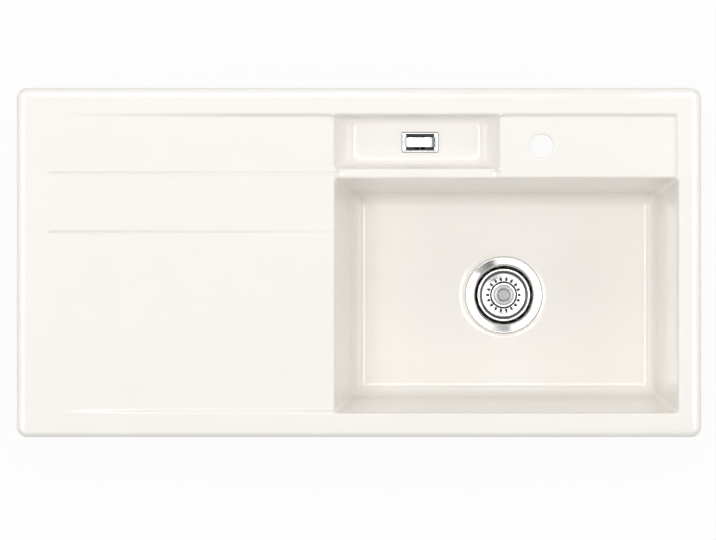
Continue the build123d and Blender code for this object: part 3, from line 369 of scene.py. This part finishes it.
def topHeight(x, y):
    # height of the sheet outside the basins: rim, drainer with its grooves, tap deck, or weir
    zone = sink["lipZone"]
    ramp = sink["rampWidth"]
    inWell = ease((sink["rampBack"] - y) / ramp) * ease((y - sink["wellFront"]) / ramp)
    if x <= sink["bowlLeft"] - zone:
        along = clamp((x - sink["wellLeft"]) / (sink["bowlLeft"] - sink["wellLeft"]))
        toStrip = ease((y - sink["grooveFronts"][0]) / sink["grooveFlank"])
        drop = mix(sink["drainerDrop"], sink["stripDrop"], toStrip) * along
        start = clamp((x - sink["grooveStart"]) / sink["grooveRound"])
        rounding = math.sqrt(1 - (1 - start) ** 2)
        for front, endDepth in zip(sink["grooveFronts"], sink["grooveEndDepths"]):
            across = y - front
            flank = sink["grooveFlank"]
            width = mix(flank, sink["grooveWidth"], rounding)
            shape = ease(across / flank) * ease((width - across) / (width - flank + tiny))
            drop += mix(sink["grooveDepth"], endDepth, along) * shape * rounding
        return sink["rim"] - drop * inWell
    if y > sink["bowlBack"] and x >= sink["recessRight"] + zone:
        return sink["rim"] - sink["deckDrop"] * inWell * ease((sink["wellRight"] - x) / ramp)
    if sink["bowlBack"] < y < sink["recessFront"]:
        sunk = ease((x - sink["bowlLeft"] + zone) / sink["weirRamp"])
        sunk *= ease((sink["recessRight"] + zone - x) / sink["weirRamp"])
        ends = topHeight(sink["bowlLeft"] - zone, y) if x < sink["overflow"][0] else sink["rim"] - sink["deckDrop"]
        return mix(ends, sink["rim"] - sink["weirDrop"], sunk)
    return sink["rim"]


def gridLines(knots):
    # stations from knot to knot, about as far apart as each knot's step
    knots = sorted(knots)
    stations = []
    for (start, step), (end, _) in zip(knots, knots[1:]):
        count = max(1, round((end - start) / step))
        stations += [start + (end - start) * i / count for i in range(count)]
    return stations + [knots[-1][0]]


def gridPiece(name, xs, ys, height, holes):
    # grid primitive whose rows are spread to the stations and lifted to the height, then opened
    deselectAll()
    bpy.ops.mesh.primitive_grid_add(x_subdivisions=len(xs) - 1, y_subdivisions=len(ys) - 1, size=1)
    piece = bpy.context.object
    piece.name = name
    bpy.ops.object.mode_set(mode="EDIT")
    bpy.ops.mesh.select_mode(type="FACE")
    edit = bmesh.from_edit_mesh(piece.data)
    for vert in edit.verts:
        x = xs[round((vert.co.x + 0.5) * (len(xs) - 1))]
        y = ys[round((vert.co.y + 0.5) * (len(ys) - 1))]
        vert.co = Vector((x, y, height(x, y))) * mm
    for face in edit.faces:
        middle = face.calc_center_median() / mm
        face.select_set(any(h[0] < middle.x < h[1] and h[2] < middle.y < h[3] for h in holes))
    bmesh.update_edit_mesh(piece.data)
    bpy.ops.mesh.delete(type="FACE")
    bpy.ops.mesh.select_mode(type="EDGE")
    print(name, "starts as", len(xs), "by", len(ys), "stations")
    return piece


def pullRings(piece, loops):
    # extrudes an open border ring by ring; every ring is set to its loop of places
    edit = bmesh.from_edit_mesh(piece.data)
    border = [v for v in edit.verts if v.is_boundary]
    tree = KDTree(len(border))
    for i, vert in enumerate(border):
        tree.insert(vert.co, i)
    tree.balance()
    ring = [border[tree.find(Vector(p) * mm)[1]] for p in loops[0]]
    bpy.ops.mesh.select_all(action="DESELECT")
    for a, b in zip(ring, ring[1:] + ring[:1]):
        edit.edges.get((a, b)).select_set(True)
    for loop in loops[1:]:
        bpy.ops.mesh.extrude_edges_indiv()
        ring = [next(e.other_vert(v) for e in v.link_edges if e.other_vert(v).select) for v in ring]
        for vert, place in zip(ring, loop):
            vert.co = Vector(place) * mm
    bmesh.update_edit_mesh(piece.data)


def frameOf(xs, ys, low, high):
    # border points of a rectangle on the grid, anticlockwise: place, side, distance along the side, its length
    across = [x for x in xs if low[0] - tiny <= x <= high[0] + tiny]
    up = [y for y in ys if low[1] - tiny <= y <= high[1] + tiny]
    length, width = high[0] - low[0], high[1] - low[1]
    loop = [(x, low[1], 0, x - low[0], length) for x in across[:-1]]
    loop += [(high[0], y, 1, y - low[1], width) for y in up[:-1]]
    loop += [(x, high[1], 2, high[0] - x, length) for x in reversed(across[1:])]
    loop += [(low[0], y, 3, high[1] - y, width) for y in reversed(up[1:])]
    return loop


def cornerTurn(spot):
    # direction that a border point faces on a rounded outline, in degrees from its own side's corner
    along, length, zone = spot[3], spot[4], sink["cornerZone"]
    return 225 + 45 * clamp(along / zone) + 45 * clamp((along - length + zone) / zone)


def endShare(spot):
    # how much a border point belongs to the left and right ends rather than to the front and back
    share = math.cos(math.radians(cornerTurn(spot))) ** 2
    return share if spot[2] % 2 == 0 else 1 - share


def onOutline(spot, low, high, radius):
    # where a border point comes to lie on a rectangle with rounded corners
    side, along, length = spot[2:]
    zone = sink["cornerZone"]
    run, rise = (high[0] - low[0], high[1] - low[1]) if side % 2 == 0 else (high[1] - low[1], high[0] - low[0])
    radius = min(radius, run / 2, rise / 2)
    turn = math.radians(cornerTurn(spot))
    straight = clamp((along - zone) / (length - 2 * zone))
    u = radius + straight * (run - 2 * radius) + radius * math.cos(turn)
    v = radius + radius * math.sin(turn)
    return ((low[0] + u, low[1] + v), (high[0] - v, low[1] + u), (high[0] - u, high[1] - v),
            (low[0] + v, high[1] - u))[side]


def onCircle(p, centre, radius):
    away = Vector((p[0] - centre[0], p[1] - centre[1])).normalized()
    return centre[0] + away.x * radius, centre[1] + away.y * radius


def basinLoops(spots, low, high, falls, floorZ, floorRs, wallR, cornerR):
    # rings of a moulded basin: lip, wall and floor fillet; falls and floorRs are those of the ends and the sides,
    # wallR and cornerR the outline's corners at the foot of the wall and on the floor
    slopes = [math.atan(fall) for fall in falls]
    heights = [topHeight(s[0], s[1]) for s in spots]

    def ring(levels, inset, radius):
        loop = []
        for s, h in zip(spots, heights):
            insets = [inset(fall, slope, h, r) for fall, slope, r in zip(falls, slopes, floorRs)]
            slope, floorR = (mix(pair[1], pair[0], endShare(s)) for pair in (slopes, floorRs))
            box = [(low[0] + insets[0], low[1] + insets[1]), (high[0] - insets[0], high[1] - insets[1])]
            loop.append((*onOutline(s, *box, radius(min(insets))), levels(slope, h, floorR)))
        return loop

    def lip(turn):
        size = sink["lipR"]
        return ring(lambda slope, h, r: h - size + size * math.cos(turn * (math.pi / 2 - slope)),
                    lambda fall, slope, h, r: (sink["rim"] - h) * fall - size * math.tan(math.pi / 4 - slope / 2)
                    + size * math.sin(turn * (math.pi / 2 - slope)),
                    lambda inset: sink["mouthR"] - inset)

    def fillet(turn):
        steep = math.cos(mix(slopes[0], math.pi / 2, turn)) / math.cos(slopes[0])  # 1 on the wall, 0 on the floor
        return ring(lambda slope, h, r: floorZ + r - r * math.sin(mix(slope, math.pi / 2, turn)),
                    lambda fall, slope, h, r: (sink["rim"] - floorZ) * fall + r * math.tan(math.pi / 4 - slope / 2)
                    - r * math.cos(mix(slope, math.pi / 2, turn)),
                    lambda inset: mix(cornerR, wallR, steep))

    lipSteps, wallSteps, filletSteps = (sink[k] for k in ("lipSteps", "wallSteps", "filletSteps"))
    lips = [lip(i / lipSteps) for i in range(lipSteps + 1)]
    fillets = [fillet(i / filletSteps) for i in range(filletSteps + 1)]
    walls = []
    for i in range(1, wallSteps):
        loop = []
        for s, top, foot in zip(spots, lips[-1], fillets[0]):
            z = mix(top[2], foot[2], i / wallSteps)
            insets = [(sink["rim"] - z) * fall for fall in falls]
            box = [(low[0] + insets[0], low[1] + insets[1]), (high[0] - insets[0], high[1] - insets[1])]
            loop.append((*onOutline(s, *box, mix(sink["mouthR"], wallR, i / wallSteps)), z))
        walls.append(loop)
    return [[(s[0], s[1], h) for s, h in zip(spots, heights)]] + lips + walls + fillets


def towards(loop, goal, steps):
    # rings that pass evenly from one loop to another
    return [[tuple(mix(a, b, i / steps) for a, b in zip(p, q)) for p, q in zip(loop, goal)]
            for i in range(1, steps + 1)]


def aroundAxis(loop, centre, stages):
    # rings on circles round an axis, one for each radius and height
    return [[(*onCircle(p, centre, radius), z) for p in loop] for radius, z in stages]


def quarterTurn(steps):
    return [math.pi / 2 * i / steps for i in range(steps + 1)]


def buildTop():
    zone, corner = sink["lipZone"], sink["cornerZone"]
    x0, x1 = sink["left"] + sink["cornerR"], sink["right"] - sink["cornerR"]
    y0, y1 = sink["front"] + sink["cornerR"], sink["back"] - sink["cornerR"]
    bowl = (sink["bowlLeft"] - zone, sink["wellFront"] - zone), (sink["wellRight"] + zone, sink["bowlBack"] + zone)
    recess = ((sink["recessLeft"] - zone, sink["recessFront"] - zone),
              (sink["recessRight"] + zone, sink["wellBack"] + zone))
    tap = [tuple(c + sign * sink["tapZone"] for c in sink["tap"]) for sign in (-1, 1)]
    first, second = sink["grooveFronts"]
    # each knot is where a run of stations starts and how far apart they are; runs are fine at edges and grooves
    xs = gridLines([(x0, 2), (x0 + corner, 6), (sink["wellLeft"] - 3, 1.5), (sink["wellLeft"] + 18, 10),
                    (recess[0][0] - 16, 2), (recess[0][0], 1.5), (bowl[0][0], 1.5), (bowl[0][0] + corner, 7),
                    (recess[1][0] - corner, 1.5), (recess[1][0], 5), (tap[0][0], 3), (tap[1][0], 7),
                    (bowl[1][0] - corner, 1.5), (bowl[1][0], 2), (x1, 2)])
    ys = gridLines([(y0, 2), (bowl[0][1], 1.5), (bowl[0][1] + corner, 7), (second - 3, 0.8), (second + 14, 7),
                    (bowl[1][1] - corner, 1.5), (first - 1, 0.6), (bowl[1][1], 0.7), (recess[0][1], 0.8),
                    (recess[0][1] + corner, 3), (tap[0][1], 3), (tap[1][1], 3), (recess[1][1] - corner, 1.2),
                    (recess[1][1], 2), (y1, 2)])
    holes = [(a[0], b[0], a[1], b[1]) for a, b in (bowl, recess, tap)]
    piece = gridPiece("sink_glazed_body", xs, ys, topHeight, holes)
    # main bowl, its floor falling to the sunk seat of the waste
    spots = frameOf(xs, ys, *bowl)
    loops = basinLoops(spots, (sink["bowlLeft"], sink["wellFront"]), (sink["wellRight"], sink["bowlBack"]),
                       (sink["endFall"], sink["sideFall"]), sink["floor"], sink["floorR"], sink["wallR"],
                       sink["floorCornerR"])
    seat, hole, top, ledge = sink["seatR"], sink["drainHoleR"], sink["drainZ"], sink["drainZ"] - sink["seatDrop"]
    edge, bow = sink["seatEdge"]
    loops += towards(loops[-1], aroundAxis(loops[-1], sink["drain"], [(seat + edge, top)])[0], sink["floorSteps"])
    loops += aroundAxis(loops[-1], sink["drain"], [(seat + bow, top - bow), (seat, top - edge), (seat, ledge),
                                                   (hole, ledge), (hole, sink["under"] + sink["glazeEnd"])])
    pullRings(piece, loops)
    # scrap recess, down to the overflow hole
    spots = frameOf(xs, ys, *recess)
    loops = basinLoops(spots, (sink["recessLeft"], sink["recessFront"]), (sink["recessRight"], sink["wellBack"]),
                       (sink["recessEndSlope"] / sink["recessDepth"], sink["recessSideSlope"] / sink["recessDepth"]),
                       sink["recessFloor"], sink["recessFloorR"], sink["recessWallR"], sink["recessCornerR"])
    box = [tuple(c + sign * size / 2 for c, size in zip(sink["overflow"], sink["overflowHole"])) for sign in (-1, 1)]
    mouth = [(*onOutline(s, *box, sink["overflowHoleR"]), sink["recessFloor"]) for s in spots]
    loops += towards(loops[-1], mouth, sink["recessFloorSteps"])
    loops.append([(p[0], p[1], sink["recessUnder"] + sink["glazeEnd"]) for p in mouth])
    pullRings(piece, loops)
    # tap hole
    spots = frameOf(xs, ys, *tap)
    deck, lipR, tapR = sink["rim"] - sink["deckDrop"], sink["tapLip"], sink["tapR"]
    turns = quarterTurn(sink["tapLipSteps"])
    stages = [(tapR + lipR + sink["tapFlat"], deck)]
    stages += [(tapR + lipR * (1 - math.sin(t)), deck - lipR * (1 - math.cos(t))) for t in turns]
    stages.append((tapR, sink["glazeEnd"] - sink["panelUnder"]))
    start = [(s[0], s[1], topHeight(s[0], s[1])) for s in spots]
    pullRings(piece, [start] + aroundAxis(start, sink["tap"], stages))
    # rolled rim, foot, worktop seat and the skirt's outer face
    spots = frameOf(xs, ys, (x0, y0), (x1, y1))
    edgeR, footR, seat, cornerR, deep = (sink[k] for k in ("edgeR", "footR", "seatWidth", "cornerR", "skirtDepth"))
    turns = quarterTurn(sink["edgeSteps"])
    stages = [(edgeR * (1 - math.sin(t)), sink["rim"] - edgeR * (1 - math.cos(t))) for t in turns]
    stages += [(footR * (1 - math.cos(t)), footR * (1 - math.sin(t))) for t in turns[::2]]
    stages = [(inset, z, cornerR - inset) for inset, z in stages]
    edge, bow = sink["skirtRoot"]
    stages += [(seat - edge, 0.0, cornerR), (seat - bow, -bow, cornerR), (seat, -edge, cornerR),
               (seat, sink["skirtEdge"][0] - deep, cornerR)]
    loops = [[(s[0], s[1], topHeight(s[0], s[1])) for s in spots]]
    for inset, z, radius in stages:
        box = (sink["left"] + inset, sink["front"] + inset), (sink["right"] - inset, sink["back"] - inset)
        loops.append([(*onOutline(s, *box, radius), z) for s in spots])
    pullRings(piece, loops)
    piece.data.materials.append(glaze)
    return piece


def insideOutline(x, y, low, high, radius):
    # how far a point lies inside a rectangle with rounded corners
    u = abs(x - (low[0] + high[0]) / 2) - (high[0] - low[0]) / 2 + radius
    v = abs(y - (low[1] + high[1]) / 2) - (high[1] - low[1]) / 2 + radius
    return radius - math.hypot(max(u, 0), max(v, 0)) - min(max(u, v), 0)


def softMax(a, b, width):
    # the larger of two heights, with a rounded change-over
    t = clamp(0.5 + 0.5 * (a - b) / width)
    return mix(b, a, t) + width * t * (1 - t)


def underHeight(x, y):
    # height of the underside: panel, ribs, skirt, and the shells of bowl and recess
    step, wall, panel, deep = sink["skirtStep"], sink["wall"], -sink["panelUnder"], -sink["skirtDepth"]
    edge = min(x - sink["left"], sink["right"] - x, y - sink["front"], sink["back"] - y) - sink["seatWidth"] - wall
    z = mix(deep, panel, clamp(edge / step))
    for rib in sink["ribs"]:
        z = min(z, mix(deep, panel, clamp((abs(x - rib) - wall / 2) / step)))
    ends, sides = (wall / math.cos(math.radians(sink[k])) for k in ("endDraft", "sideDraft"))
    # widths are stretched by the pace, so that one slope serves all four walls
    pace = sink["endFall"] / sink["sideFall"]
    mouth = ((sink["bowlLeft"] - ends, (sink["wellFront"] - sides) * pace),
             (sink["wellRight"] + ends, (sink["bowlBack"] + sides) * pace))
    depth = insideOutline(x, y * pace, *mouth, sink["shellR"])
    shell = softMax(sink["under"], sink["rim"] - depth / sink["endFall"], sink["shellFillet"])
    z = -softMax(-z, -shell, sink["underFillet"])
    ends = min(x - sink["recessLeft"], sink["recessRight"] - x) + wall / 2
    sides = min(y - sink["recessFront"], sink["wellBack"] - y) + wall
    depth, fillet = sink["recessDepth"], sink["recessShellFillet"]
    shell = softMax(sink["recessUnder"], sink["rim"] - ends * depth / sink["recessEndSlope"], fillet)
    shell = softMax(shell, sink["rim"] - sides * depth / sink["recessSideSlope"], fillet)
    return min(z, shell)


def buildUnder():
    seat, wall, step = sink["seatWidth"], sink["wall"], sink["skirtStep"]
    band, inner = seat + wall * 2 / 3, seat + wall  # the grid starts on the skirt's foot, and goes in from there
    dx, dy = sink["drain"]
    ox, oy = sink["overflow"]
    tx, ty = sink["tap"]
    half, tapHalf = sink["drainHoleR"] + sink["drainBorder"], sink["tapR"] + sink["tapBorder"]
    hx, hy = (size / 2 for size in sink["overflowHole"])
    xKnots = [(sink["left"] + band, 4), (sink["left"] + inner, step), (sink["left"] + inner + step, 20)]
    for rib in sink["ribs"]:
        xKnots += [(rib - wall / 2 - step, step), (rib - wall / 2, 6), (rib + wall / 2, step),
                   (rib + wall / 2 + step, 20)]
    xKnots += [(sink["bowlLeft"] - 16, 1.5), (sink["bowlLeft"] + 36, 6), (ox - hx, 4), (ox + hx, 6), (dx - half, 5),
               (sink["recessRight"] - 30, 2.5), (sink["recessRight"] + 10, 4), (tx - tapHalf, 3.5), (dx + half, 3.5),
               (tx + tapHalf, 6), (sink["wellRight"] - 36, 1.5), (sink["right"] - inner - step, step),
               (sink["right"] - inner, 4), (sink["right"] - band, 4)]
    yKnots = [(sink["front"] + band, 4), (sink["front"] + inner, step), (sink["front"] + inner + step, 1.5),
              (sink["wellFront"] + 36, 6), (dy - half, 5), (dy + half, 6), (sink["bowlBack"] - 36, 1.5),
              (sink["bowlBack"] + 16, 2), (ty - tapHalf, 3), (oy - hy, 3), (oy + hy, 3), (ty + tapHalf, 3),
              (sink["wellBack"] - 14, 1.5), (sink["back"] - inner - step, step), (sink["back"] - inner, 4),
              (sink["back"] - band, 4)]
    xs, ys = gridLines(xKnots), gridLines(yKnots)
    drain = (dx - half, dy - half), (dx + half, dy + half)
    overflow = (ox - hx, oy - hy), (ox + hx, oy + hy)
    tap = (tx - tapHalf, ty - tapHalf), (tx + tapHalf, ty + tapHalf)
    holes = [(a[0], b[0], a[1], b[1]) for a, b in (drain, overflow, tap)]
    piece = gridPiece("sink_underside", xs, ys, underHeight, holes)
    for box, centre, radius, z in ((drain, sink["drain"], sink["drainHoleR"], sink["under"]),
                                   (tap, sink["tap"], sink["tapR"], -sink["panelUnder"])):
        start = [(s[0], s[1], underHeight(s[0], s[1])) for s in frameOf(xs, ys, *box)]
        pullRings(piece, [start] + towards(start, aroundAxis(start, centre, [(radius, z)])[0], sink["holeSteps"]))
    # skirt's lower edge, rounded outwards
    spots = frameOf(xs, ys, (xs[0], ys[0]), (xs[-1], ys[-1]))
    loops = [[(s[0], s[1], -sink["skirtDepth"]) for s in spots]]
    edge, bow = sink["skirtEdge"]
    for inset, rise in ((seat + edge, 0.0), (seat + bow, bow)):
        box = (sink["left"] + inset, sink["front"] + inset), (sink["right"] - inset, sink["back"] - inset)
        loops.append([(*onOutline(s, *box, sink["cornerR"]), rise - sink["skirtDepth"]) for s in spots])
    pullRings(piece, loops)
    piece.data.materials.append(bareClay)
    return piece


def closeBorders(piece, tests):
    # bridges the two open borders that pass each test of place
    bpy.ops.object.mode_set(mode="EDIT")
    bpy.ops.mesh.select_mode(type="EDGE")
    for test in tests:
        bpy.ops.mesh.select_all(action="DESELECT")
        edit = bmesh.from_edit_mesh(piece.data)
        for edge in edit.edges:
            if edge.is_boundary and all(test(*(v.co / mm)) for v in edge.verts):
                edge.select_set(True)
        bmesh.update_edit_mesh(piece.data)
        bpy.ops.mesh.bridge_edge_loops()
    bpy.ops.mesh.select_all(action="SELECT")
    bpy.ops.mesh.normals_make_consistent(inside=False)
    edit = bmesh.from_edit_mesh(piece.data)
    print(piece.name, "open edges:", sum(e.is_boundary for e in edit.edges), "crossed edges:",
          sum(len(e.link_faces) > 2 for e in edit.edges), "volume:", round(edit.calc_volume() * 1e6), "cm3")
    bpy.ops.object.mode_set(mode="OBJECT")


def buildSinkBody():
    top = buildTop()
    under = buildUnder()
    pick(top, under)
    bpy.ops.object.join()
    slack = sink["borderSlack"]
    hx, hy = (size / 2 for size in sink["overflowHole"])

    def roundHole(centre, radius):
        return lambda x, y, z: math.hypot(x - sink[centre][0], y - sink[centre][1]) < sink[radius] + slack

    closeBorders(top, [
        roundHole("drain", "drainHoleR"),
        roundHole("tap", "tapR"),
        lambda x, y, z: abs(x - sink["overflow"][0]) < hx + slack and abs(y - sink["overflow"][1]) < hy + slack,
        lambda x, y, z: abs(z + sink["skirtDepth"]) < sink["skirtEdge"][0] + slack,
    ])
    finishPiece(top, "sink", ["sink_body"], sink["smoothAngle"])


buildSinkBody()

# Studio, in metres and watts: pale floor below the sink, white surroundings, softboxes above and on four sides, three
# high strips, and two flags that only mirror-like surfaces show; a flag's shades run across it, from its own front
studio = {
    "floorSize": 60.0, "floorGapMm": 2, "floor": "#F0F0EE", "floorRoughness": 0.9, "glow": 0.94, "fill": 0.29,
    "wallTop": 0.82, "ceilingEdge": 0.94, "wallGrey": 0.35,
    "lamps": {
        "overhead_softbox": {"at": (0.15, 0, 2.4), "aim": (0.15, 0, 0), "size": (2.2, 2.2), "power": 8.2},
        "left_softbox": {"at": (-2.6, 0, 1.6), "aim": (0, 0, 0), "size": (2.0, 2.0), "power": 20.5},
        "right_softbox": {"at": (2.6, 0, 1.6), "aim": (0, 0, 0), "size": (2.0, 2.0), "power": 20.0},
        "back_softbox": {"at": (0.1, 2.6, 1.6), "aim": (0, 0, 0), "size": (2.0, 2.0), "power": 18.5},
        "front_softbox": {"at": (0.1, -2.6, 1.6), "aim": (0, 0, 0), "size": (2.0, 2.0), "power": 4.0},
        "back_strip": {"at": (0.15, 0.75, 4.0), "aim": (0.15, 0.75, 0), "size": (1.6, 0.5), "power": 16.0},
        "left_strip": {"at": (-1.25, -0.05, 4.0), "aim": (-1.25, -0.05, 0), "size": (0.7, 2.0), "power": 27.0},
        "right_strip": {"at": (1.1, -0.05, 4.0), "aim": (1.1, -0.05, 0), "size": (0.6, 1.6), "power": 16.0},
    },
    "flags": {
        "front_flag": {"at": (0.652, -0.608, 2.0), "turn": 308, "size": (0.5, 0.43), "shades": (0.0, 0.6)},
        "back_flag": {"at": (0.314, 0.656, 2.0), "turn": 82, "size": (0.5, 0.43), "shades": (0.8, 0.1)},
    },
}


def seenDirectly(tree, path):
    # 1 for rays from the camera and for refracted ones, else 0
    return addNode(tree, "ShaderNodeMath", {"operation": "MAXIMUM"},
                   {0: path["Is Camera Ray"], 1: path["Is Transmission Ray"]}).outputs[0]


def buildFloor():
    deselectAll()
    below = cadBox[0].z - studio["floorGapMm"] * mm
    bpy.ops.mesh.primitive_plane_add(size=studio["floorSize"], location=(0, 0, below))
    floor = bpy.context.object
    floor.name = "studio_floor"
    material, tree, shader, place = startMaterial("pale_paper_floor")
    addNode(tree, shader, {}, {"Base Color": linearColour(studio["floor"]), "Roughness": studio["floorRoughness"]})
    glow = addNode(tree, "ShaderNodeEmission", {}, {"Strength": 1.0})
    paper = addNode(tree, "ShaderNodeMixShader", {}, {0: studio["glow"], 1: shader.outputs[0], 2: glow.outputs[0]})
    path = addNode(tree, "ShaderNodeLightPath", {}, {}).outputs
    white = addNode(tree, "ShaderNodeMath", {"operation": "MAXIMUM"},
                    {0: seenDirectly(tree, path), 1: path["Is Glossy Ray"]}).outputs[0]
    seen = addNode(tree, "ShaderNodeMixShader", {}, {0: white, 1: shader.outputs[0], 2: paper.outputs[0]})
    clear = addNode(tree, "ShaderNodeBsdfTransparent", {}, {})  # lets a camera below the floor see the underside
    behind = addNode(tree, "ShaderNodeNewGeometry", {}, {}).outputs["Backfacing"]
    sided = addNode(tree, "ShaderNodeMixShader", {}, {0: behind, 1: seen.outputs[0], 2: clear.outputs[0]})
    addNode(tree, tree.nodes["Material Output"], {}, {"Surface": sided.outputs[0]})
    floor.data.materials.append(material)


def buildFlags():
    for name, look in studio["flags"].items():
        deselectAll()
        bpy.ops.mesh.primitive_plane_add(size=1, location=look["at"], rotation=(0, 0, math.radians(look["turn"])))
        flag = bpy.context.object
        flag.name = name
        flag.scale = (*look["size"], 1)
        material, tree, shader, place = startMaterial(name + "_cloth")
        across = addNode(tree, "ShaderNodeSeparateXYZ", {}, {"Vector": place}).outputs["Y"]
        shade = addNode(tree, "ShaderNodeMapRange", {}, {"Value": across, "From Min": -0.5, "From Max": 0.5,
                                                         "To Min": look["shades"][0], "To Max": look["shades"][1]})
        cloth = addNode(tree, "ShaderNodeEmission", {}, {"Strength": shade.outputs["Result"]})
        addNode(tree, tree.nodes["Material Output"], {}, {"Surface": cloth.outputs[0]})
        flag.data.materials.append(material)
        flag.visible_camera = flag.visible_diffuse = flag.visible_shadow = flag.visible_transmission = False


def buildLight():
    world = bpy.data.worlds.new("white_surroundings")
    world.use_nodes = True
    bpy.context.scene.world = world
    tree = world.node_tree
    # mirrors see white straight above, and grey walls further down
    path = addNode(tree, "ShaderNodeLightPath", {}, {}).outputs
    way = addNode(tree, "ShaderNodeTexCoord", {}, {}).outputs["Generated"]
    rise = addNode(tree, "ShaderNodeSeparateXYZ", {}, {"Vector": way}).outputs["Z"]
    walls = addNode(tree, "ShaderNodeMapRange", {"interpolation_type": "SMOOTHSTEP"},
                    {"Value": rise, "From Min": studio["wallTop"], "From Max": studio["ceilingEdge"],
                     "To Min": studio["wallGrey"], "To Max": 1.0}).outputs["Result"]
    room = addNode(tree, "ShaderNodeMix", {"data_type": "FLOAT"},
                   {0: path["Is Glossy Ray"], 2: studio["fill"], 3: walls})
    strength = addNode(tree, "ShaderNodeMix", {"data_type": "FLOAT"},
                       {0: seenDirectly(tree, path), 2: room.outputs[0], 3: 1.0})
    addNode(tree, tree.nodes["Background"], {}, {"Color": (1, 1, 1, 1), "Strength": strength.outputs[0]})
    for name, look in studio["lamps"].items():
        data = bpy.data.lights.new(name, "AREA")
        data.shape = "RECTANGLE"
        data.size, data.size_y = look["size"]
        data.energy = look["power"]
        lamp = bpy.data.objects.new(name, data)
        bpy.context.scene.collection.objects.link(lamp)
        lamp.location = look["at"]
        lamp.rotation_euler = (Vector(look["aim"]) - lamp.location).to_track_quat("-Z", "Y").to_euler()
        lamp.visible_camera = False
    bpy.context.scene.view_settings.view_transform = "Standard"


buildFloor()
buildFlags()
buildLight()
print("studio ready")
